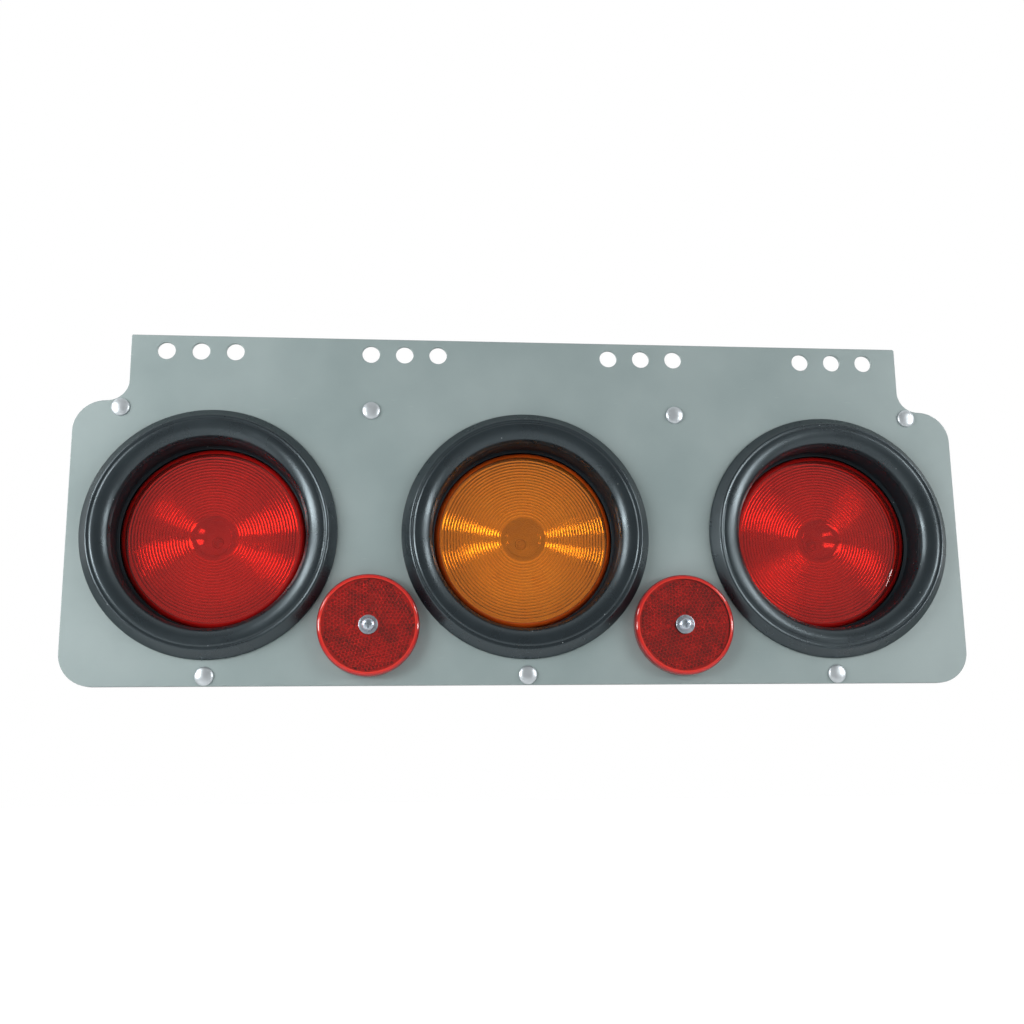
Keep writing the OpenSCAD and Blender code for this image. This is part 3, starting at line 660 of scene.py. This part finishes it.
def add_plate():
    """The face plate with its mounting holes, lamp cut-outs, screw holes and rivet holes."""
    bm = bmesh.new()
    hole_xs, hole_r = hole_places()
    holes = [circle((x, 0), hole_r) for x in hole_xs]
    for side in SIDES:
        centre = round_place("grommet_" + side) / MM
        holes.append(circle((centre.x, centre.z), CUTOUT_R, ROUND_STEPS))
    for end in ENDS:
        centre = round_place("reflector_" + end) / MM
        holes.append(circle((centre.x, centre.z), SCREW_HOLE_R, HOLE_STEPS))
    holes += [circle(spot, RIVET_HOLE_R, HOLE_STEPS) for spot in rivet_places()]
    sheet(bm, plate_loop(plate_high.z / MM), holes, PLATE_T, PLATE_EDGE_R)
    add_piece("face_plate_fine", bm, [MATERIALS["plate_paint"]], ["face_plate"], even=True)


# Rear box

def add_rear_box():
    """Drawn box: flange, rounded walls, rolled back edge, and holes for rivets, the inlet and drains."""
    low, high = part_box("rear_box")
    front, back = low.y / MM, high.y / MM
    half = plate_high.x / MM - FLANGE_W
    bottom = plate_low.z / MM + FLANGE_W
    flange_top = FLANGE_RISE - SHOULDER_DROP
    root_y = front + BOX_T + BOX_ROOT_R
    bend_y = back - BOX_BEND_R
    bm = bmesh.new()

    def ring(spots):
        """Vertices at points in millimetres."""
        return [bm.verts.new((x * MM, y * MM, z * MM)) for x, y, z in spots]

    def wall_ring(out, y):
        """Ring around the box at one depth, grown outwards from the wall's outer face."""
        low_corner = (-half - out, bottom - out)
        high_corner = (half + out, flange_top - FLANGE_W + out)
        spots = rounded_loop(low_corner, high_corner, BOX_CORNER_R + out, CORNER_STEPS)
        return ring([(x, y, z) for x, z in spots])

    def wall(root_r, bend_r):
        """Rings of one face of the wall, round its root at the flange, along it and round the back edge."""
        root = arc((BOX_ROOT_R, root_y), (root_r, root_r), 270, 180, ROOT_STEPS)
        bend = arc((-BOX_BEND_R, bend_y), (bend_r, bend_r), 0, 90, BEND_STEPS)
        return [wall_ring(out, y) for out, y in root + bend]

    outside = wall(BOX_ROOT_R, BOX_BEND_R)
    inside = wall(BOX_ROOT_R + BOX_T, BOX_BEND_R - BOX_T)
    drain_y = (back + FRONT_Y / MM) / 2
    drain_xs = [round_place("reflector_" + end).x / MM for end in ENDS] + [0]
    inlet = round_place("inlet_socket") / MM
    drains, inlets = [], []
    for rings, floor_z, back_y in ((outside, bottom, back), (inside, bottom + BOX_T, back - BOX_T)):
        for first, second in zip(rings, rings[1:]):
            bridge(bm, first, second)
        near, far = rings[ROOT_STEPS], rings[ROOT_STEPS + 1]
        left = 3 * (CORNER_STEPS + 1) - 1
        floor = [near[left], near[left + 1], far[left + 1], far[left]]
        bm.faces.remove(bm.faces.get(floor))
        drain_loops = [circle((mid, drain_y), DRAIN_R, HOLE_STEPS) for mid in drain_xs]
        drains.append([ring([(x, y, floor_z) for x, y in loop]) for loop in drain_loops])
        fill_flat(bm, [floor] + drains[-1], "y")
        inlets.append(ring([(x, back_y, z) for x, z in circle((inlet.x, inlet.z), INLET_HOLE_R)]))
        fill_flat(bm, [rings[-1], inlets[-1]])
    for first, second in zip(*drains):
        bridge(bm, first, second)
    bridge(bm, *inlets)
    flange_rims, holes = [], []
    rivet_loops = [circle(spot, RIVET_HOLE_R, HOLE_STEPS) for spot in rivet_places()]
    for y, opening in ((front, inside[0]), (front + BOX_T, outside[0])):
        flange_rims.append(ring([(x, y, z) for x, z in plate_loop(flange_top)]))
        holes.append([ring([(x, y, z) for x, z in loop]) for loop in rivet_loops])
        fill_flat(bm, [flange_rims[-1], opening] + holes[-1])
    bridge(bm, *flange_rims)
    for first, second in zip(*holes):
        bridge(bm, first, second)
    add_piece("rear_box_fine", bm, [MATERIALS["box_paint"]], ["rear_box"], even=True)


# Lamps

def grommet_outline():
    """The ring's section: well, bead, edge line and bevel in front, groove, lip and tail behind."""
    mouth = arc((GROMMET_MOUTH_R + 0.5, -FACE_RECESS - 1.1), (0.5, 0.5), 180, 90, 3)
    well = [(GROMMET_WELL_R, -FACE_RECESS + 0.6), (GROMMET_WELL_R, 0.9), (GROMMET_WELL_R + 0.2, 1.3)]
    bead = arc((GROMMET_WELL_R + BEAD_W, 0), (BEAD_W, BEAD_H), 148, 90, BEAD_STEPS)
    dip = [(EDGE_LINE_R - out, BEAD_H - drop) for out, drop in ((1.9, 0.1), (1.4, 0.5), (1.0, 0.5))]
    edge_line = arc((EDGE_LINE_R - 0.1, BEAD_H - 1.3), (EDGE_ROUND, EDGE_ROUND), 110, 41, 7)
    foot = [(GROMMET_R - 0.9, 2.1), (GROMMET_R - 0.4, 1.6), (GROMMET_R - 0.1, 1.1)]
    foot += [(GROMMET_R, 0.8), (GROMMET_R, 0.2)]
    return (
        [(GROMMET_MOUTH_R, -FLANGE_RECESS)] + mouth + well + bead + dip + edge_line + foot
        + [(GROMMET_R - 0.2, 0), (CUTOUT_R, 0), (CUTOUT_R, -PLATE_T)]
        + [(GROMMET_LIP_R, -PLATE_T), (GROMMET_LIP_R, -PLATE_T - 2), (BARREL_R, -PLATE_T - 5)]
        + [(BARREL_R, -TAIL_RECESS), (TAIL_R, -TAIL_RECESS), (TAIL_R, -HOUSING_FLANGE_RECESS)]
        + [(LAMP_FLANGE_R, -HOUSING_FLANGE_RECESS), (LAMP_FLANGE_R, -FLANGE_RECESS)]
    )


def lens_outline():
    """The lens's section: crowned face, round edge and flange, with prism rings on the inside."""
    face_r = LENS_R - LENS_EDGE_R
    inside = -FACE_RECESS - LENS_WALL
    ring_w = (LENS_INNER_R - RING_MARGIN - RING_INNER_R) / RING_COUNT
    shares = [k / CROWN_STEPS for k in range(CROWN_STEPS)]
    crown = [(face_r * t, LENS_CROWN * (1 - t ** 2) - FACE_RECESS) for t in shares]
    edge_middle = (face_r, -FACE_RECESS - LENS_EDGE_R)
    edge = arc(edge_middle, (LENS_EDGE_R, LENS_EDGE_R), 90, 0, LENS_EDGE_STEPS)
    starts = [RING_INNER_R + ring_w * k for k in range(RING_COUNT)]
    rings = [p for r in reversed(starts) for p in ripple(r, ring_w, inside, RING_DEPTH)]
    return (
        crown + edge
        + [(LENS_R, -FLANGE_RECESS), (LAMP_FLANGE_R, -FLANGE_RECESS)]
        + [(LAMP_FLANGE_R, -FLANGE_RECESS - FLANGE_T), (LENS_INNER_R, -FLANGE_RECESS - FLANGE_T)]
        + [(LENS_INNER_R, inside)] + rings
        + ripple(DISC_RING_R, DISC_RING_W, inside, RING_DEPTH) + [(0, inside)]
    )


def ripple(radius, width, base, depth):
    """One rounded ring on the lens's inside, from the notch around it to its inner foot."""
    shares = [k / RING_STEPS for k in range(RING_STEPS + 1)]
    notch = width * NOTCH_SHARE
    crest = width - notch
    return [(radius + width - notch / 2, base + NOTCH_DEPTH)] + [
        (radius + crest * (1 - t), base - depth * 4 * t * (1 - t)) for t in shares
    ]


def add_lamp(side):
    """A lamp's rubber ring and its lens, with other finishes on the lens's edge and on its rings."""
    centre = round_place("grommet_" + side)
    bm = bmesh.new()
    turn(bm, grommet_outline(), centre, closed=True)
    mark_between(bm, centre, 0, GROMMET_WELL_R + MARK_SLACK)
    add_piece(f"grommet_{side}_fine", bm, [MATERIALS["rubber"], WELL_MATERIAL], ["grommet_" + side])
    if side in RED_SIDES:
        tints = (srgb(194, 57, 49), srgb(200, 54, 48))
        flanks = (srgb(236, 84, 56), srgb(250, 118, 80))
        edges = (srgb(176, 16, 14), srgb(200, 24, 20))
    else:
        tints = (srgb(215, 132, 42), srgb(206, 126, 34))
        flanks = (srgb(252, 212, 92), srgb(255, 236, 130))
        edges = (srgb(214, 78, 16), srgb(232, 96, 22))
    bm = bmesh.new()
    turn(bm, lens_outline(), centre, LENS_STEPS)
    mark_between(bm, centre, LENS_R - LENS_EDGE_R, LAMP_FLANGE_R + MARK_SLACK)
    # The third material goes to the lens's inside, with its rings
    behind = FRONT_Y + (FACE_RECESS + LENS_WALL - NOTCH_DEPTH * 2) * MM
    for face in bm.faces:
        if face.material_index == 0 and face.calc_center_median().y > behind:
            face.material_index = 2
    materials = [
        lens_finish(f"{side}_lens_finish", centre, *tints),
        lens_edge_finish(f"{side}_edge_finish", *edges),
        ring_finish(f"{side}_ring_finish", centre, *flanks),
    ]
    add_piece(f"lens_{side}_fine", bm, materials, ["lens_" + side])


# Reflectors

def reflector_outline():
    """The clear body's section: flat face with a rounded rim and a hollow behind for the prisms."""
    back = ahead_of(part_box("reflector_backing_left")[0].y)
    front = ahead_of(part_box("reflector_left")[0].y)
    hollow = front - REFLECTOR_FACE_T
    inner_r = REFLECTOR_R - REFLECTOR_RIM
    round_r = REFLECTOR_EDGE_R
    edge = arc((REFLECTOR_R - round_r, front - round_r), (round_r, round_r), 0, 90, REFLECTOR_EDGE_STEPS)
    return (
        [(SCREW_HOLE_R, back), (WASHER_R, back), (WASHER_R, hollow), (inner_r, hollow), (inner_r, back)]
        + [(REFLECTOR_R, back)] + edge + [(inner_r, front), (SCREW_HOLE_R, front)]
    )


def add_cell(bm, cell_shade_layer, spot, turned, ahead):
    """One closed hexagonal prism cell: a thin raised edge around a sunk middle, and its foot in the land."""
    rings = []
    for share, height, dark in CELL_RINGS:
        reach = CELL_PITCH * share / math.cos(math.radians(30)) * MM
        y = FRONT_Y - (ahead + height) * MM
        hexagon = arc((spot.x, spot.y), (reach, reach), turned, turned + 360, 6)[:-1]
        rings.append([bm.verts.new((x, y, z)) for x, z in hexagon])
        for vert in rings[-1]:
            # The painted shade of this ring, deepest in the cell's middle
            vert[cell_shade_layer] = dark
    tip = bm.verts.new((spot.x, FRONT_Y - (ahead + CELL_TIP_HEIGHT) * MM, spot.y))
    tip[cell_shade_layer] = CELL_TIP_DARK
    for first, second in zip(rings, rings[1:] + [[tip] * 6]):
        bridge(bm, first, second)
    bm.faces.new(rings[0])


def add_prisms(bm, centre, ahead):
    """Fills a reflector with prism cells in three sectors, each with its own lean."""
    # A layer of painted shade, which the prism material reads
    cell_shade_layer = bm.verts.layers.float.new("painted_cell_shade")
    rim = REFLECTOR_R - REFLECTOR_RIM
    land = ahead - LAND_DROP
    land_back = land - LAND_T
    land_outline = [(WASHER_R, land), (rim, land), (rim, land_back), (WASHER_R, land_back)]
    turn(bm, land_outline, centre, REFLECTOR_STEPS, closed=True)
    reach = rim * MM
    pitch = CELL_PITCH * MM
    clear = pitch * CELL_CLEAR_SHARE
    count = math.ceil(reach / (pitch * math.sin(math.radians(60)))) + 1
    start = PRISM_SECTORS[0][0]
    for low, high, turned in PRISM_SECTORS:
        across = Vector((math.cos(math.radians(turned)), math.sin(math.radians(turned))))
        up = Vector((-across.y, across.x))
        for row in range(-count, count + 1):
            for column in range(-count, count + 1):
                away = across * pitch * (column + 0.5 * (row % 2))
                away += up * pitch * row * math.sin(math.radians(60))
                bearing = (math.degrees(math.atan2(away.y, away.x)) - start) % 360 + start
                if WASHER_R * MM + clear < away.length < reach - clear and low <= bearing < high:
                    add_cell(bm, cell_shade_layer, Vector((centre.x, centre.z)) + away, turned + 30, ahead)


def add_reflector(end):
    """A reflector's clear red body and the prism cells behind its face."""
    centre = round_place("reflector_" + end)
    front = ahead_of(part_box("reflector_" + end)[0].y)
    bm = bmesh.new()
    turn(bm, reflector_outline(), centre, REFLECTOR_STEPS, closed=True)
    mark_between(bm, centre, REFLECTOR_R - REFLECTOR_RIM, REFLECTOR_R + MARK_SLACK)
    materials = [MATERIALS["reflector_red"], rim_finish(f"{end}_rim_finish", centre)]
    add_piece(f"reflector_{end}_fine", bm, materials, ["reflector_" + end])
    bm = bmesh.new()
    add_prisms(bm, centre, front - REFLECTOR_FACE_T - PRISM_GAP)
    add_piece(f"reflector_{end}_prisms", bm, [PRISM_MATERIAL])


def add_washers():
    """The flat washers under the reflectors' screws, with rounded edges."""
    low = ahead_of(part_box("reflector_washers")[1].y)
    high = ahead_of(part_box("reflector_washers")[0].y)
    outline = [(SCREW_HOLE_R, low), (WASHER_R, low)]
    edge_middle = (WASHER_R - WASHER_EDGE_R, high - WASHER_EDGE_R)
    outline += arc(edge_middle, (WASHER_EDGE_R, WASHER_EDGE_R), 0, 90, EDGE_STEPS)
    outline += [(SCREW_HOLE_R + WASHER_BEVEL, high), (SCREW_HOLE_R, high - WASHER_BEVEL)]
    bm = bmesh.new()
    for end in ENDS:
        turn(bm, outline, round_place("reflector_" + end), SMALL_STEPS, closed=True)
    add_piece("washers_fine", bm, [MATERIALS["zinc_steel"]], ["reflector_washers"])


# Rivets

def rivet_outline():
    """Smooth domed head, shank, and the bulb behind the sheets."""
    grip = -ahead_of(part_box("rear_box")[0].y) + BOX_T
    dome = arc((0, RIVET_RIM_H), (RIVET_R, RIVET_H - RIVET_RIM_H), 0, 90, DOME_STEPS)[:-1]
    return (
        [(0, -grip - 4), (1.3, -grip - 4), (2.6, -grip - 3.4), (RIVET_BULB_R, -grip - 2)]
        + [(RIVET_BULB_R, -grip), (RIVET_SHANK_R, -grip), (RIVET_SHANK_R, 0)]
        + [(RIVET_R - 0.1, 0), (RIVET_R, 0.1)] + dome + [(0, RIVET_H)]
    )


def add_rivets():
    """The seven blind rivets along the edges of the plate's lower part."""
    bm = bmesh.new()
    for x, z in rivet_places():
        turn(bm, rivet_outline(), Vector((x * MM, 0, z * MM)), SMALL_STEPS)
    add_piece("rivets_fine", bm, [MATERIALS["rivet_metal"]], ["rivets"])


def dress_cad_nodes():
    """Gives each CAD node that still shows the finish of its slot in the record."""
    for row in frame["record"]["subparts"]:
        node = frame["nodes"][row["node"]]
        material = MATERIALS.get(row["material_slot"])
        if material and not node.hide_render:
            node.data.materials.clear()
            node.data.materials.append(material)


# Stage, lights and camera

def combine(tree, operation, first, second):
    """Result of a Math node on a socket and another socket or a number."""
    node = tree.nodes.new("ShaderNodeMath")
    node.operation = operation
    tree.links.new(first, node.inputs[0])
    if isinstance(second, float):
        node.inputs[1].default_value = second
    else:
        tree.links.new(second, node.inputs[1])
    return node.outputs["Value"]


def seen_by_eye(tree, gloss):
    """Share that is 1 for what is seen straight or through glass, and gloss for what is seen in gloss."""
    path = tree.nodes.new("ShaderNodeLightPath")
    in_gloss = combine(tree, "MULTIPLY", path.outputs["Is Glossy Ray"], gloss)
    seen = combine(tree, "MAXIMUM", path.outputs["Is Camera Ray"], path.outputs["Is Transmission Ray"])
    return combine(tree, "MAXIMUM", seen, in_gloss)


def light_world():
    """White for the eye, dimmer gloss from the room in front, and a weaker even fill on the object."""
    world = bpy.data.worlds.new("studio")
    world.use_nodes = True
    tree = world.node_tree
    back = tree.nodes["Background"]
    back.inputs["Color"].default_value = (1, 1, 1, 1)
    place = tree.nodes.new("ShaderNodeTexCoord")
    split = tree.nodes.new("ShaderNodeSeparateXYZ")
    tree.links.new(place.outputs["Generated"], split.inputs["Vector"])
    room = spread(tree, split.outputs["Y"], ROOM_FRONT, ROOM_SIDE, ROOM_GLOSS, 1.0)
    tree.links.new(spread(tree, seen_by_eye(tree, room), 0, 1, FILL, 1.0), back.inputs["Strength"])
    bpy.context.scene.world = world


def add_floor():
    """Pale floor that keeps the object's shadow near it and looks white further out."""
    bpy.ops.mesh.primitive_plane_add(size=FLOOR_W, location=(0, 0, cad_box[0].z - FLOOR_DROP))
    floor = bpy.context.object
    floor.name = "studio_floor"
    material = bpy.data.materials.new("floor_finish")
    material.use_nodes = True
    tree = material.node_tree
    shader = next(n for n in tree.nodes if n.type == "BSDF_PRINCIPLED")
    set_sockets(shader, {"Base Color": (0.85, 0.85, 0.85, 1), "Roughness": 0.9})
    set_sockets(shader, {"Emission Color": (1, 1, 1, 1)})
    place = tree.nodes.new("ShaderNodeTexCoord")
    reach = tree.nodes.new("ShaderNodeVectorMath")
    reach.operation = "LENGTH"
    tree.links.new(place.outputs["Object"], reach.inputs[0])
    white = spread(tree, reach.outputs["Value"], GLOW_START_R, GLOW_END_R, FLOOR_GLOW, 1.0)
    glow = combine(tree, "MULTIPLY", seen_by_eye(tree, FLOOR_GLOSS), white)
    tree.links.new(glow, shader.inputs["Emission Strength"])
    floor.data.materials.append(material)


def add_softbox(name, place, width, height, watts):
    """A rectangular area light turned to the middle of the part."""
    light = bpy.data.lights.new(name, "AREA")
    light.shape = "RECTANGLE"
    light.size = width
    light.size_y = height
    light.energy = watts
    box = bpy.data.objects.new(name, light)
    box.location = place
    box.rotation_euler = (Vector(LIGHT_AIM) - Vector(place)).to_track_quat("-Z", "Y").to_euler()
    bpy.context.scene.collection.objects.link(box)


def add_camera():
    """Stands where the photograph was taken: left of the middle and a little below the lamps."""
    data = bpy.data.cameras.new("camera")
    data.lens = CAMERA_LENS
    data.sensor_width = CAMERA_SENSOR
    camera = bpy.data.objects.new("camera", data)
    camera.location = CAMERA_PLACE
    camera.rotation_euler = [math.radians(a) for a in CAMERA_TURN]
    bpy.context.scene.collection.objects.link(camera)
    bpy.context.scene.camera = camera


# The part, and then its stage

add_plate()
add_rear_box()
for lamp_side in SIDES:
    add_lamp(lamp_side)
for reflector_end in ENDS:
    add_reflector(reflector_end)
add_washers()
add_rivets()
dress_cad_nodes()

bpy.context.scene.view_settings.view_transform = "Standard"
light_world()
add_floor()
for box_name, *settings in SOFTBOXES:
    add_softbox("softbox_" + box_name, *settings)
add_camera()
